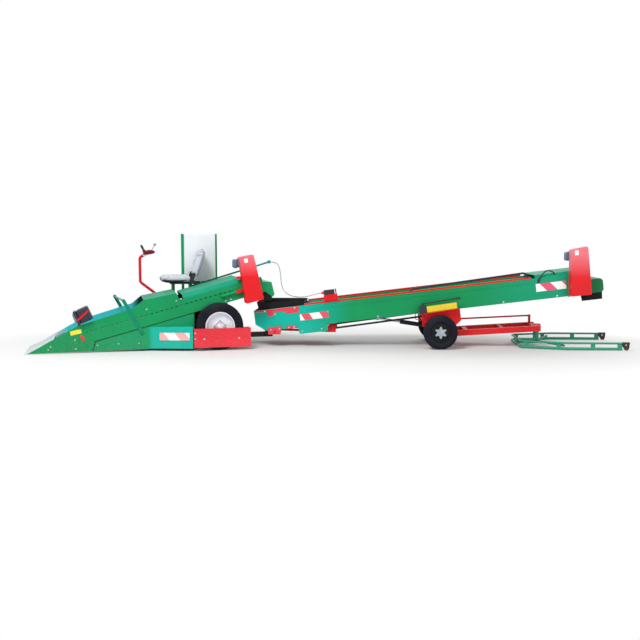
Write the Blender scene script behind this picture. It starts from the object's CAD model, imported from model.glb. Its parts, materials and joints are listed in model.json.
import json
import logging
import math
from dataclasses import dataclass, field
from enum import Enum
from typing import Any, Dict, List, Optional, Sequence, Tuple, Union

import bmesh
import bpy
from mathutils import Matrix, Vector


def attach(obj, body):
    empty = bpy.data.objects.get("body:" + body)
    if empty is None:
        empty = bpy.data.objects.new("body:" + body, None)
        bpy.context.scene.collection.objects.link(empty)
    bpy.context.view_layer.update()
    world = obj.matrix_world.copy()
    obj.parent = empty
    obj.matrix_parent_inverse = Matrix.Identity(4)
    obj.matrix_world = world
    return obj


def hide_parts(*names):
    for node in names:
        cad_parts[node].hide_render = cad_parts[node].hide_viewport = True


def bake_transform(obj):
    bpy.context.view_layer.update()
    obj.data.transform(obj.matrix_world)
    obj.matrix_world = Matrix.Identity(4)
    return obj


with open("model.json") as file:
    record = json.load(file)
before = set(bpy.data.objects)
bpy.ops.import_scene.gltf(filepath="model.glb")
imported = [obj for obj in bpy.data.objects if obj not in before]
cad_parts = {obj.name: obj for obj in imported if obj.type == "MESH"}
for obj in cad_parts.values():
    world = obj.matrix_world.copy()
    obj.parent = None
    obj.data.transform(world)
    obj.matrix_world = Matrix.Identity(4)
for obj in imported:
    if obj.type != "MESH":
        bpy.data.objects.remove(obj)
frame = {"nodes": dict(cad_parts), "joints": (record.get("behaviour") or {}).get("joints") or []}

# Bulk crop scoop with its discharge conveyor: finishes, fittings, soft pieces, light and camera.
# Lengths are metres. Local points are (along, across, up) from the swivel axis at floor height.

LOG = logging.getLogger("crop_scoop")
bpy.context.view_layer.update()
Point = Tuple[float, float, float]
Colour = Tuple[float, float, float]
Outline = Sequence[Tuple[float, float]]

SWIVEL_REST = math.radians(17.0)
SCOOP_LEAN = math.radians(15.2)
CONVEYOR_LEAN = math.radians(6.9)
SCOOP_HALF = 0.460
CONVEYOR_HALF = 0.420
HEAD = (-0.235, 0.926)
CONVEYOR_FOOT = 0.227
POLE_TOP = 1.206
AXIS = 0.0005  # least radius of a turned outline, which leaves no pole


class Unit(Enum):
    """The two drawing frames of the machine."""

    SCOOP = "scoop"
    CONVEYOR = "conveyor"


def swivel_point() -> Vector:
    """The swivel axis at floor height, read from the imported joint."""
    joint = next(j for j in frame["joints"] if j["name"] == "conveyor_swivel")
    return Vector((joint["pos_m"][0], joint["pos_m"][1], 0.0))


SWIVEL = swivel_point()
SCOOP = Matrix.Translation(SWIVEL) @ Matrix.Rotation(SWIVEL_REST, 4, "Z")
CONVEYOR = Matrix.Translation(SWIVEL)
PLACES: Dict[Unit, Matrix] = {Unit.SCOOP: SCOOP, Unit.CONVEYOR: CONVEYOR}


def at(unit: Unit, point: Sequence[float]) -> Vector:
    """A local point in the row frame."""
    return PLACES[unit] @ Vector(point)


def turned(degrees: float) -> Matrix:
    """A turn about the local Y axis."""
    return Matrix.Rotation(math.radians(degrees), 4, "Y")


def aimed(way: Sequence[float]) -> Matrix:
    """A turn that points the local Y axis along a direction."""
    return Vector(way).to_track_quat("Y", "Z").to_matrix().to_4x4()


def on_belt(u: float, t: float) -> Tuple[float, float]:
    """Side-view point of the scoop: u on the belt line, then t square to it."""
    rise = HEAD[1] + (u - HEAD[0]) * math.tan(SCOOP_LEAN)
    return u - t * math.sin(SCOOP_LEAN), rise + t * math.cos(SCOOP_LEAN)


def on_conveyor(s: float, t: float) -> Tuple[float, float]:
    """Side-view point of the conveyor from its along and square measures."""
    x = s * math.cos(CONVEYOR_LEAN) - t * math.sin(CONVEYOR_LEAN)
    return x, CONVEYOR_FOOT + s * math.sin(CONVEYOR_LEAN) + t * math.cos(CONVEYOR_LEAN)


class Sock:
    """A shader output that takes part in Python arithmetic."""

    def __init__(self, shader: "Shader", socket: Any) -> None:
        """Keep the shader that owns the socket."""
        self.shader = shader
        self.socket = socket

    def _math(self, operation: str, first: Any, second: Any) -> "Sock":
        """Add one Math node."""
        return self.shader.node("ShaderNodeMath", {"operation": operation}, {0: first, 1: second})

    def __add__(self, other: Any) -> "Sock":
        """Sum."""
        return self._math("ADD", self, other)

    def __sub__(self, other: Any) -> "Sock":
        """Difference."""
        return self._math("SUBTRACT", self, other)

    def __rsub__(self, other: Any) -> "Sock":
        """Reflected difference."""
        return self._math("SUBTRACT", other, self)

    def __mul__(self, other: Any) -> "Sock":
        """Product."""
        return self._math("MULTIPLY", self, other)

    def __gt__(self, other: Any) -> "Sock":
        """One where the value is larger."""
        return self._math("GREATER_THAN", self, other)

    def fraction(self) -> "Sock":
        """The part behind the point."""
        return self._math("FRACT", self, 0.0)

    def size(self) -> "Sock":
        """The value without its sign."""
        return self._math("ABSOLUTE", self, 0.0)

    def sine(self) -> "Sock":
        """The sine of the value."""
        return self._math("SINE", self, 0.0)


class Shader:
    """Builds one node material."""

    def __init__(self, name: str) -> None:
        """Start an empty material with its output and principled nodes."""
        self.material = bpy.data.materials.new(name)
        self.material.use_nodes = True
        self.tree = self.material.node_tree
        self.tree.nodes.clear()
        self.output = self.tree.nodes.new("ShaderNodeOutputMaterial")
        self.surface = self.tree.nodes.new("ShaderNodeBsdfPrincipled")
        self.tree.links.new(self.surface.outputs[0], self.output.inputs["Surface"])

    def node(self, kind: str, settings: Optional[Dict[str, Any]] = None,
             inputs: Optional[Dict[Union[int, str], Any]] = None, out: Union[int, str] = 0) -> Sock:
        """Add a node.

        Args:
            kind: The node's type.
            settings: Its properties.
            inputs: Values or links of its sockets.
            out: The output that is wanted.

        Returns:
            The chosen output.
        """
        made = self.tree.nodes.new(kind)
        for key, value in (settings or {}).items():
            setattr(made, key, value)
        for key, value in (inputs or {}).items():
            self.feed(made.inputs[key], value)
        return Sock(self, made.outputs[out])

    def feed(self, socket: Any, value: Any) -> None:
        """Link or set one input."""
        if isinstance(value, Sock):
            self.tree.links.new(value.socket, socket)
        else:
            socket.default_value = value

    def set(self, **values: Any) -> None:
        """Feed the principled shader, with underscores for spaces."""
        for key, value in values.items():
            self.feed(self.surface.inputs[key.replace("_", " ")], value)

    def place(self, scale: Point = (1.0, 1.0, 1.0)) -> Sock:
        """Object coordinates, stretched."""
        spot = self.node("ShaderNodeTexCoord", out="Object")
        return self.node("ShaderNodeMapping", {}, {"Vector": spot, "Scale": scale})

    def axis(self, index: int, source: str = "Object") -> Sock:
        """One coordinate of the surface point."""
        return self.node("ShaderNodeSeparateXYZ", {}, {0: self.node("ShaderNodeTexCoord", out=source)}, index)

    def noise(self, scale: float, detail: float = 4.0, stretch: Point = (1.0, 1.0, 1.0)) -> Sock:
        """Fractal noise over the surface."""
        inputs = {"Vector": self.place(stretch), "Scale": scale, "Detail": detail}
        return self.node("ShaderNodeTexNoise", {}, inputs)

    def mix(self, factor: Any, first: Any, second: Any) -> Sock:
        """Mix two colours."""
        inputs = {0: factor, 6: first if isinstance(first, Sock) else (*first, 1.0),
                  7: second if isinstance(second, Sock) else (*second, 1.0)}
        return self.node("ShaderNodeMix", {"data_type": "RGBA"}, inputs, out=2)

    def ramp(self, value: Sock, low: float, high: float) -> Sock:
        """Clamp a value between two limits to 0..1."""
        return self.node("ShaderNodeMapRange", {}, {"Value": value, "From Min": low, "From Max": high})

    def measure(self, unit: Unit, axis: int) -> Sock:
        """One local coordinate of a drawing frame, in metres."""
        place = PLACES[unit].inverted()
        parts = [self.axis(index) for index in range(3)]
        total = parts[0] * place[axis][0] + parts[1] * place[axis][1]
        return total + parts[2] * place[axis][2] + place[axis][3]

    def bump(self, height: Sock, strength: float, distance: float) -> Sock:
        """A bump normal."""
        inputs = {"Height": height, "Strength": strength, "Distance": distance}
        return self.node("ShaderNodeBump", {}, inputs)


def linear(red: int, green: int, blue: int) -> Colour:
    """An sRGB colour as linear values."""
    def one(value: float) -> float:
        """One channel."""
        value /= 255.0
        return value / 12.92 if value <= 0.04045 else ((value + 0.055) / 1.055) ** 2.4
    return one(red), one(green), one(blue)


@dataclass(frozen=True)
class Tint:
    """A second shade of a coat, blended in along one local coordinate."""

    unit: Unit
    axis: int
    start: float
    end: float
    colour: Colour
    share: float = 0.8
    both_sides: bool = False
    fades: Tuple["Tint", ...] = ()


@dataclass(frozen=True)
class Paint:
    """Sprayed gloss paint on sheet steel, a little dusty towards the floor."""

    name: str
    colour: Colour
    rough: float = 0.38
    coat: float = 0.06
    gloss: float = 0.16
    dust: float = 0.35
    chips: float = 0.0
    tints: Tuple[Tint, ...] = ()

    def material(self) -> bpy.types.Material:
        """Build the material."""
        shader = Shader(self.name)
        cloud = shader.noise(1.7, 3.0)
        speck = shader.noise(38.0, 5.0)
        shade = tuple(c * 0.86 for c in self.colour)
        body = shader.mix(shader.ramp(cloud, 0.35, 0.7), shade, self.colour)
        for tint in self.tints:
            place = shader.measure(tint.unit, tint.axis)
            place = place.size() if tint.both_sides else place
            second: Any = tint.colour
            for fade in tint.fades:
                along = shader.ramp(shader.measure(fade.unit, fade.axis), fade.start, fade.end)
                second = shader.mix(along * fade.share, second, fade.colour)
            body = shader.mix(shader.ramp(place, tint.start, tint.end) * tint.share, body, second)
        height = shader.axis(2)
        low = (1.0 - shader.ramp(height, 0.0, 0.42)) * shader.ramp(speck, 0.38, 0.72) * self.dust
        dusty = tuple(0.55 * c + 0.45 * d for c, d in zip(self.colour, (0.36, 0.31, 0.25)))
        body = shader.mix(low, body, dusty)
        if self.chips:
            worn = shader.noise(9.0, 9.0) > (1.0 - self.chips)
            body = shader.mix(worn, body, (0.12, 0.11, 0.10))
        peel = shader.noise(420.0, 1.0)
        shader.set(Base_Color=body, Roughness=low * 0.4 + speck * 0.08 + (self.rough - 0.04),
                   Coat_Weight=self.coat, Coat_Roughness=0.12, Specular_IOR_Level=self.gloss,
                   Normal=shader.bump(peel, 0.04, 0.002))
        return shader.material


@dataclass(frozen=True)
class Rubber:
    """Matt rubber with a fine grain."""

    name: str
    colour: Colour
    grain: float = 240.0
    rough: float = 0.72
    depth: float = 0.25

    def material(self) -> bpy.types.Material:
        """Build the material."""
        shader = Shader(self.name)
        cloud, grain = shader.noise(3.0, 4.0), shader.noise(self.grain, 3.0)
        pale = tuple(min(1.0, c * 1.45 + 0.012) for c in self.colour)
        shader.set(Base_Color=shader.mix(shader.ramp(cloud, 0.42, 0.75), self.colour, pale),
                   Roughness=grain * 0.16 + (self.rough - 0.08), Specular_IOR_Level=0.2,
                   Normal=shader.bump(grain, self.depth, 0.003))
        return shader.material


@dataclass(frozen=True)
class Steel:
    """Bare steel with a rolling grain along one axis."""

    name: str
    colour: Colour
    stretch: Point = (2.0, 90.0, 90.0)
    rough: float = 0.38
    metal: float = 1.0

    def material(self) -> bpy.types.Material:
        """Build the material."""
        shader = Shader(self.name)
        grain, cloud = shader.noise(6.0, 3.0, self.stretch), shader.noise(4.0, 4.0)
        dull = tuple(c * 0.72 for c in self.colour)
        shader.set(Base_Color=shader.mix(shader.ramp(cloud, 0.35, 0.75), dull, self.colour),
                   Roughness=grain * 0.22 + (self.rough - 0.08), Metallic=self.metal,
                   Normal=shader.bump(grain, 0.08, 0.002))
        return shader.material


@dataclass(frozen=True)
class Plastic:
    """Moulded plastic with a fine spark-eroded grain."""

    name: str
    colour: Colour
    rough: float = 0.5

    def material(self) -> bpy.types.Material:
        """Build the material."""
        shader = Shader(self.name)
        grain, cloud = shader.noise(700.0, 2.0), shader.noise(8.0, 3.0)
        pale = tuple(min(1.0, c * 1.2 + 0.008) for c in self.colour)
        shader.set(Base_Color=shader.mix(cloud, self.colour, pale),
                   Roughness=cloud * 0.15 + (self.rough - 0.07), Normal=shader.bump(grain, 0.12, 0.001))
        return shader.material


@dataclass(frozen=True)
class Vinyl:
    """Seat vinyl with a leather grain."""

    name: str
    colour: Colour
    dark: Colour
    welt: Tuple[float, float] = (0.895, 0.962)

    def material(self) -> bpy.types.Material:
        """Build the material."""
        shader = Shader(self.name)
        cells = shader.node("ShaderNodeTexVoronoi", {}, {"Vector": shader.place(), "Scale": 210.0})
        cloud = shader.noise(5.0, 4.0)
        worn = tuple(c * 0.8 for c in self.colour)
        body = shader.mix(shader.ramp(cloud, 0.4, 0.8), self.colour, worn)
        height = shader.axis(2)
        low = 1.0 - shader.ramp(height, self.welt[0], self.welt[1])
        shader.set(Base_Color=shader.mix(low * 0.85, body, self.dark), Specular_IOR_Level=0.3,
                   Roughness=cloud * 0.2 + 0.42, Normal=shader.bump(cells, 0.22, 0.002))
        return shader.material


@dataclass(frozen=True)
class Stripes:
    """Slanting warning stripes on a reflective sheet."""

    name: str
    first: Colour
    second: Colour
    pitch: float = 0.262
    slant: float = 0.66
    share: float = 0.52
    shift: float = 0.0

    def material(self) -> bpy.types.Material:
        """Build the material."""
        shader = Shader(self.name)
        along = shader.axis(0, "UV") + shader.axis(1, "UV") * self.slant - (self.shift - self.pitch)
        band = (along * (1.0 / self.pitch)).fraction() > self.share
        cells = shader.noise(160.0, 2.0)
        shader.set(Base_Color=shader.mix(band, self.first, self.second),
                   Roughness=cells * 0.15 + 0.25, Coat_Weight=0.4)
        return shader.material


@dataclass(frozen=True)
class Glass:
    """Lamp lens: pale ribbed glass over a bright reflector."""

    name: str
    colour: Colour

    def material(self) -> bpy.types.Material:
        """Build the material."""
        shader = Shader(self.name)
        ribs = (shader.axis(1) * 420.0).sine()
        pale = tuple(c * 2.2 for c in self.colour)
        shader.set(Base_Color=shader.mix(shader.ramp(ribs, -1.0, 1.0), self.colour, pale),
                   Roughness=ribs * 0.03 + 0.12, Metallic=0.25, Coat_Weight=0.8,
                   Normal=shader.bump(ribs, 0.3, 0.003))
        return shader.material


GREEN = linear(14, 149, 88)
RED = linear(229, 24, 32)
TEAL = linear(4, 181, 162)
SKY, GLARE, PINK = linear(64, 204, 214), linear(206, 230, 234), linear(244, 150, 162)
FINISHES = {
    "green": Paint("green_paint", GREEN),
    "bow_green": Paint("bow_paint", linear(8, 136, 100)),
    "deflector_green": Paint("deflector_paint", GREEN, tints=(
        Tint(Unit.SCOOP, 1, 0.452, 0.475, TEAL, 0.95, True),)),
    "far_green": Paint("inner_wall_paint", GREEN, tints=(Tint(
        Unit.SCOOP, 1, 0.456, 0.452, GLARE, 0.95,
        fades=(Tint(Unit.SCOOP, 0, -3.06, -2.90, SKY, 1.0),
               Tint(Unit.SCOOP, 0, -1.99, -1.88, linear(6, 16, 14), 0.97))),)),
    "tail_green": Paint("conveyor_paint", GREEN, tints=(
        Tint(Unit.CONVEYOR, 0, 1.25, 0.55, TEAL, 0.92),
        Tint(Unit.CONVEYOR, 0, 2.9, 4.0, linear(12, 158, 126), 0.7))),
    "hood_green": Paint("hood_paint", linear(10, 154, 118), rough=0.5, coat=0.0),
    "head_green": Paint("head_paint", linear(12, 112, 60)),
    "pole_green": Paint("pole_paint", linear(16, 92, 68),
                        tints=(Tint(Unit.SCOOP, 0, -0.46, -0.30, linear(60, 152, 168), 0.9),)),
    "fork_green": Paint("fork_green_paint", linear(46, 158, 124), chips=0.22),
    "red": Paint("red_paint", RED),
    "trim_red": Paint("trim_paint", RED, tints=(
        Tint(Unit.CONVEYOR, 0, 0.75, 0.40, linear(224, 74, 90), 0.8),)),
    "guard_red": Paint("guard_paint", RED, tints=(Tint(Unit.SCOOP, 2, 1.02, 1.36, PINK, 0.6),)),
    "skirt_red": Paint("skirt_paint", linear(233, 52, 66)),
    "dark": Paint("dark_paint", linear(44, 46, 62), rough=0.4),
    "maroon": Paint("tongue_paint", linear(58, 20, 26), rough=0.45, chips=0.25),
    "console_red": Paint("console_paint", linear(112, 22, 34), rough=0.35),
    "motor": Paint("motor_paint", linear(100, 122, 146), rough=0.4),
    "yellow": Paint("pump_paint", linear(236, 208, 58)),
    "white": Paint("cabinet_paint", linear(240, 244, 248), rough=0.4, dust=0.1),
    "rim": Paint("rim_paint", linear(232, 232, 241), dust=0.4),
    "black_rim": Paint("hub_black_paint", linear(12, 12, 16), coat=0.15, dust=0.05),
    "hook_brown": Paint("hook_paint", linear(62, 46, 38), rough=0.5, chips=0.3),
    "sticker": Plastic("blank_label", linear(236, 214, 60), 0.35),
    "label": Plastic("blank_plate", linear(238, 238, 236), 0.35),
    "black": Plastic("black_plastic", linear(20, 20, 26)),
    "lamp_navy": Plastic("lamp_housing", linear(30, 30, 50), 0.4),
    "grey_plastic": Plastic("grey_plastic", linear(156, 156, 172)),
    "knob": Plastic("red_knob", linear(215, 40, 44), 0.3),
    "steel": Steel("sheet_steel", linear(206, 210, 214), (2.0, 60.0, 60.0), 0.42, 0.75),
    "lip_steel": Steel("worn_lip_steel", linear(216, 228, 232), (60.0, 2.0, 60.0), 0.45, 0.45),
    "zinc": Steel("zinc_plate", linear(214, 216, 220), (40.0, 40.0, 40.0), 0.35, 0.8),
    "hub_grey": Steel("hub_cover", linear(172, 179, 188), (40.0, 40.0, 40.0), 0.42, 0.6),
    "chrome": Steel("cylinder_rod", linear(225, 228, 232), (2.0, 60.0, 60.0), 0.2),
    "belt": Rubber("belt_sheet", linear(92, 104, 106), 180.0, 0.6, 0.2),
    "rubber": Rubber("black_rubber", linear(14, 14, 18)),
    "tyre": Rubber("tyre_rubber", linear(13, 16, 26), 120.0, 0.8),
    "cable": Rubber("cable_jacket", linear(176, 180, 184), 300.0, 0.5, 0.1),
    "vinyl": Vinyl("seat_vinyl", linear(208, 212, 220), linear(58, 60, 76)),
    "stripes_pale": Stripes("faded_stripes", linear(240, 172, 172), linear(246, 248, 244),
                            0.298, 0.81, 0.49, -0.006),
    "stripes_tail": Stripes("tail_stripes", linear(224, 70, 92), linear(244, 244, 238),
                            0.262, 0.49, 0.45, 0.063),
    "stripes_head": Stripes("head_stripes", linear(224, 44, 100), linear(246, 246, 242),
                            0.307, 0.85, 0.485, 0.148),
    "lens": Glass("lamp_lens", linear(84, 96, 116)),
}
MATERIALS: Dict[str, bpy.types.Material] = {key: finish.material() for key, finish in FINISHES.items()}

NODE_FINISH = {
    "green": "scoop_side_left discharge_hood driver_platform seat_frame scoop_tensioner",
    "bow_green": "cross_bow",
    "head_green": "head_end",
    "pole_green": "cable_pole",
    "deflector_green": "scoop_lower_panels",
    "far_green": "scoop_side_right",
    "hood_green": "scoop_hood head_hood",
    "tail_green": "conveyor_side_left conveyor_side_right",
    "guard_red": "scoop_drive_guard conveyor_drive_guard",
    "red": "chassis drawbar swivel_frame control_column",
    "trim_red": "edge_strips",
    "skirt_red": "wheel_skirts",
    "fork_green": "fork_frame",
    "dark": "stay_rods side_rail lift_barrel",
    "maroon": "tow_tongue",
    "yellow": "hand_pump",
    "white": "switch_cabinet",
    "rim": "scoop_rim_left scoop_rim_right",
    "black_rim": "conveyor_rim_left conveyor_rim_right",
    "black": "pump_head junction_box",
    "hook_brown": "fork_hooks",
    "lip_steel": "scoop_bed",
    "steel": "conveyor_bed scoop_drums conveyor_drums",
    "chrome": "lift_rod",
    "belt": "scoop_belt conveyor_belt",
    "rubber": "hopper head_flap discharge_flap",
}


def new_piece(name: str, mesh: bpy.types.Mesh, finish: str, body: str, *replaced: str) -> bpy.types.Object:
    """Link a finished mesh as a piece of a body.

    Args:
        name: The piece's name.
        mesh: Its mesh, in the row frame.
        finish: Key of its material.
        body: The body it rides on.
        replaced: Names of the CAD nodes it stands for.

    Returns:
        The new object.
    """
    piece = bpy.data.objects.new(name, mesh)
    bpy.context.scene.collection.objects.link(piece)
    mesh.materials.clear()
    mesh.materials.append(MATERIALS[finish])
    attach(piece, body)
    if replaced:
        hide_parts(*replaced)
    LOG.info("%s on %s", name, body)
    return piece


def to_mesh(name: str, shape: bmesh.types.BMesh, place: Matrix, smooth: bool = False) -> bpy.types.Mesh:
    """Turn a bmesh into a mesh in the row frame, with outward faces."""
    bmesh.ops.remove_doubles(shape, verts=shape.verts, dist=1e-6)
    bmesh.ops.recalc_face_normals(shape, faces=shape.faces)
    mesh = bpy.data.meshes.new(name)
    shape.to_mesh(mesh)
    shape.free()
    mesh.transform(place)
    for polygon in mesh.polygons:
        polygon.use_smooth = smooth
    return mesh


def add_piece(name: str, shape: bmesh.types.BMesh, place: Matrix, finish: str, body: str, *replaced: str,
              smooth: bool = False) -> None:
    """Finish a bmesh as a piece of a body, in place of the named CAD nodes."""
    new_piece(name, to_mesh(name, shape, place, smooth), finish, body, *replaced)


def add_block(shape: bmesh.types.BMesh, centre: Sequence[float], size: Sequence[float],
              turn: Optional[Matrix] = None,
              round_by: float = 0.0) -> None:
    """Add a box, with its edges rounded where round_by is given."""
    place = Matrix.Translation(Vector(centre)) @ (turn or Matrix.Identity(4)) @ Matrix.Diagonal((*size, 1.0))
    made = bmesh.ops.create_cube(shape, size=1.0, matrix=place)
    if round_by:
        edges = list({edge for vert in made["verts"] for edge in vert.link_edges})
        bmesh.ops.bevel(shape, geom=edges, offset=round_by, segments=3, affect="EDGES", profile=0.5)


def add_bar(shape: bmesh.types.BMesh, start: Sequence[float], end: Sequence[float], radius: float,
            sides: int = 16) -> None:
    """Add a round bar between two points."""
    first, last = Vector(start), Vector(end)
    way = last - first
    place = Matrix.Translation((first + last) / 2) @ way.to_track_quat("Z", "Y").to_matrix().to_4x4()
    bmesh.ops.create_cone(shape, cap_ends=True, segments=sides, radius1=radius, radius2=radius,
                          depth=way.length,
                          matrix=place)


def bridge(shape: bmesh.types.BMesh, rings: Sequence[Sequence[Any]], closed: bool = False) -> None:
    """Join rings of points by quads, and the last ring to the first where closed."""
    count = len(rings[0])
    for here, there in list(zip(rings, rings[1:])) + ([(rings[-1], rings[0])] if closed else []):
        for step in range(count):
            after = (step + 1) % count
            shape.faces.new((here[step], here[after], there[after], there[step]))


def add_turned(shape: bmesh.types.BMesh, outline: Outline, centre: Sequence[float],
               steps: int = 64) -> None:
    """Add a closed outline of (radius, across) turned about the local Y axis through centre."""
    rings = []
    for step in range(steps):
        angle = 2 * math.pi * step / steps
        rings.append([shape.verts.new((centre[0] + r * math.cos(angle), centre[1] + y,
                                       centre[2] + r * math.sin(angle)))
                      for r, y in outline])
    bridge(shape, rings, True)


def add_plate(shape: bmesh.types.BMesh, outline: Outline, low: float, high: float) -> None:
    """Add a plate with an outline of (along, up) between two lateral limits."""
    rings = [[shape.verts.new((u, v, z)) for u, z in outline] for v in (low, high)]
    shape.faces.new(rings[0])
    shape.faces.new(rings[1])
    bridge(shape, rings)


class GeoTree:
    """A geometry node tree that is built in the script."""

    def __init__(self, name: str) -> None:
        """Start a tree with a geometry input and output."""
        self.tree = bpy.data.node_groups.new(name, "GeometryNodeTree")
        self.tree.interface.new_socket("Geometry", in_out="INPUT", socket_type="NodeSocketGeometry")
        self.tree.interface.new_socket("Geometry", in_out="OUTPUT", socket_type="NodeSocketGeometry")
        self.names: Dict[str, str] = {}

    def size(self, name: str, default: float, kind: str = "NodeSocketFloat") -> None:
        """Add a named input."""
        item = self.tree.interface.new_socket(name, in_out="INPUT", socket_type=kind)
        if kind != "NodeSocketMaterial":
            item.default_value = default
        self.names[name] = item.identifier

    def node(self, kind: str, settings: Optional[Dict[str, Any]] = None,
             inputs: Optional[Dict[Union[int, str], Any]] = None) -> Any:
        """Add a node, its settings first, then values or links."""
        made = self.tree.nodes.new(kind)
        for key, value in (settings or {}).items():
            setattr(made, key, value)
        for key, value in (inputs or {}).items():
            if hasattr(value, "is_output"):
                self.tree.links.new(value, made.inputs[key])
            else:
                made.inputs[key].default_value = value
        return made

    def finish(self, geometry: Any, material: Any) -> None:
        """End the tree in realized instances with their material."""
        real = self.node("GeometryNodeRealizeInstances", {}, {0: geometry})
        dressed = self.node("GeometryNodeSetMaterial", {}, {"Geometry": real.outputs[0],
                                                            "Material": material})
        self.node("NodeGroupOutput", {}, {0: dressed.outputs[0]})

    def apply(self, carrier: bpy.types.Object, values: Dict[str, Any]) -> bpy.types.Mesh:
        """Run the tree on a carrier and return the plain mesh."""
        run = carrier.modifiers.new("repeat", "NODES")
        run.node_group = self.tree
        for name, value in values.items():
            run[self.names[name]] = value
        graph = bpy.context.evaluated_depsgraph_get()
        mesh = bpy.data.meshes.new_from_object(carrier.evaluated_get(graph))
        carrier.modifiers.remove(run)
        bpy.data.objects.remove(carrier)
        return mesh


def bolt_tree() -> GeoTree:
    """Hexagon heads on washers at the carrier's points, turned to its facing attribute."""
    geo = GeoTree("bolt_heads")
    geo.size("Radius", 0.012)
    geo.size("Height", 0.008)
    geo.size("Material", 0.0, "NodeSocketMaterial")
    start = geo.node("NodeGroupInput")
    facing = geo.node("GeometryNodeInputNamedAttribute", {"data_type": "FLOAT_VECTOR"}, {"Name": "facing"})
    turn = geo.node("FunctionNodeAlignRotationToVector", {"axis": "Z"}, {"Vector": facing.outputs[0]})
    head = geo.node("GeometryNodeMeshCylinder", {}, {"Vertices": 6, "Radius": start.outputs["Radius"],
                                                    "Depth": start.outputs["Height"]})
    lift = geo.node("ShaderNodeCombineXYZ", {}, {2: start.outputs["Height"]})
    raised = geo.node("GeometryNodeTransform", {}, {"Geometry": head.outputs[0],
                                                    "Translation": lift.outputs[0]})
    wide = geo.node("ShaderNodeMath", {"operation": "MULTIPLY"}, {0: start.outputs["Radius"], 1: 1.5})
    thick = geo.node("ShaderNodeMath", {"operation": "MULTIPLY"}, {0: start.outputs["Height"], 1: 0.5})
    disc = geo.node("GeometryNodeMeshCylinder", {}, {"Vertices": 14, "Radius": wide.outputs[0],
                                                     "Depth": thick.outputs[0]})
    both = geo.node("GeometryNodeJoinGeometry")
    for made in (raised, disc):
        geo.tree.links.new(made.outputs[0], both.inputs[0])
    spread = geo.node("GeometryNodeInstanceOnPoints", {}, {"Points": start.outputs["Geometry"],
                                                         "Instance": both.outputs[0],
                                                           "Rotation": turn.outputs[0]})
    geo.finish(spread.outputs[0], start.outputs["Material"])
    return geo


def fin_tree() -> GeoTree:
    """Cooling fins: one thin blade at each point of the carrier, turned to its facing attribute."""
    geo = GeoTree("cooling_fins")
    geo.size("Length", 0.18)
    geo.size("Depth", 0.012)
    geo.size("Thickness", 0.003)
    geo.size("Material", 0.0, "NodeSocketMaterial")
    start = geo.node("NodeGroupInput")
    facing = geo.node("GeometryNodeInputNamedAttribute", {"data_type": "FLOAT_VECTOR"}, {"Name": "facing"})
    along = geo.node("GeometryNodeInputNamedAttribute", {"data_type": "FLOAT_VECTOR"}, {"Name": "along"})
    first = geo.node("FunctionNodeAlignRotationToVector", {"axis": "Z"}, {"Vector": facing.outputs[0]})
    turn = geo.node("FunctionNodeAlignRotationToVector", {"axis": "X", "pivot_axis": "Z"},
                    {"Rotation": first.outputs[0], "Vector": along.outputs[0]})
    size = geo.node("ShaderNodeCombineXYZ", {}, {0: start.outputs["Length"], 1: start.outputs["Thickness"],
                                                 2: start.outputs["Depth"]})
    blade = geo.node("GeometryNodeMeshCube", {}, {"Size": size.outputs[0]})
    spread = geo.node("GeometryNodeInstanceOnPoints", {}, {"Points": start.outputs["Geometry"],
                                                         "Instance": blade.outputs[0],
                                                           "Rotation": turn.outputs[0]})
    geo.finish(spread.outputs[0], start.outputs["Material"])
    return geo


def carrier(points: Sequence[Vector], **vectors: Sequence[Vector]) -> bpy.types.Object:
    """A mesh of loose points with vector attributes, for a geometry tree."""
    mesh = bpy.data.meshes.new("carrier")
    mesh.from_pydata([tuple(p) for p in points], [], [])
    for name, values in vectors.items():
        layer = mesh.attributes.new(name, "FLOAT_VECTOR", "POINT")
        for item, value in zip(layer.data, values):
            item.vector = tuple(value)
    holder = bpy.data.objects.new("carrier", mesh)
    bpy.context.scene.collection.objects.link(holder)
    return holder


@dataclass
class BoltSet:
    """Bolt heads on one body."""

    name: str
    body: str
    unit: Unit
    spots: List[Tuple[Point, Point]]
    radius: float
    height: float
    finish: str = "zinc"

    def build(self, tree: GeoTree) -> None:
        """Place the heads.

        Args:
            tree: The bolt-head tree.
        """
        place = PLACES[self.unit]
        points = [place @ Vector(spot) for spot, _ in self.spots]
        facing = [place.to_3x3() @ Vector(way) for _, way in self.spots]
        values = {"Radius": self.radius, "Height": self.height, "Material": MATERIALS[self.finish]}
        new_piece(self.name, tree.apply(carrier(points, facing=facing), values), self.finish, self.body)


STAR_POINTS = 6
STAR_CORNERS = ((0.050, 0.0), (0.086, 0.400), (0.086, 0.647))  # radius and angle: a notch, then a blunt tip


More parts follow.
